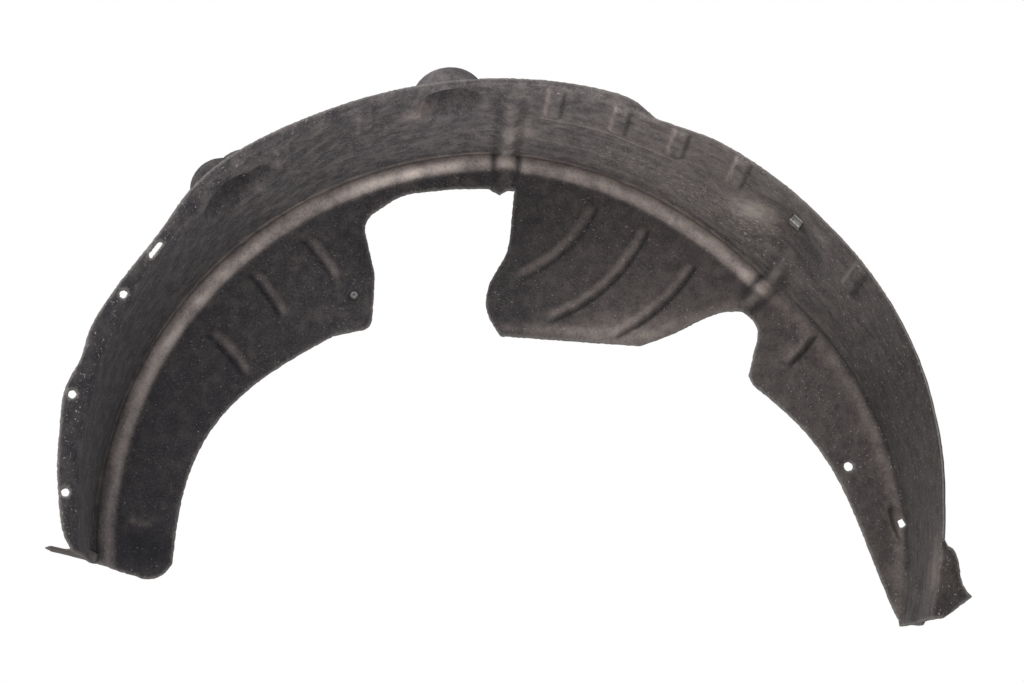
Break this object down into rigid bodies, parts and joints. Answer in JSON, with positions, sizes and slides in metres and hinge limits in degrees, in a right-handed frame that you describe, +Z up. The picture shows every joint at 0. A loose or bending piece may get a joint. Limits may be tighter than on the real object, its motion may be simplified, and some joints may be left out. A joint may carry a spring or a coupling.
{
  "type": "wheel arch liner",
  "caption": "Moulded felt liner for a rear wheel arch: a deep curved band with an inner wall, a suspension cut-out, stiffening ribs and fixing holes.",
  "frame": {"origin": "centre of the round fixing hole in the rear leg's wall, on the side that the wheel sees; the wheel's axis is parallel to Y, 346 mm towards the front leg and 65 mm below it", "axes": "+X from the front leg towards the rear leg, +Y inboard along the wheel's axis, +Z up"},
  "size_m": [0.8389, 0.174, 0.5307],
  "materials": {
    "felt": "dark grey-brown pressed needle felt, dusty and worn",
    "pin_plastic": "grey plastic, dull and dusty",
    "clip_steel": "dull spring steel"
  },
  "bodies": {
    "root": {"liner": "felt", "push_pin": "pin_plastic", "sheet_clip": "clip_steel"}
  },
  "joints": []
}
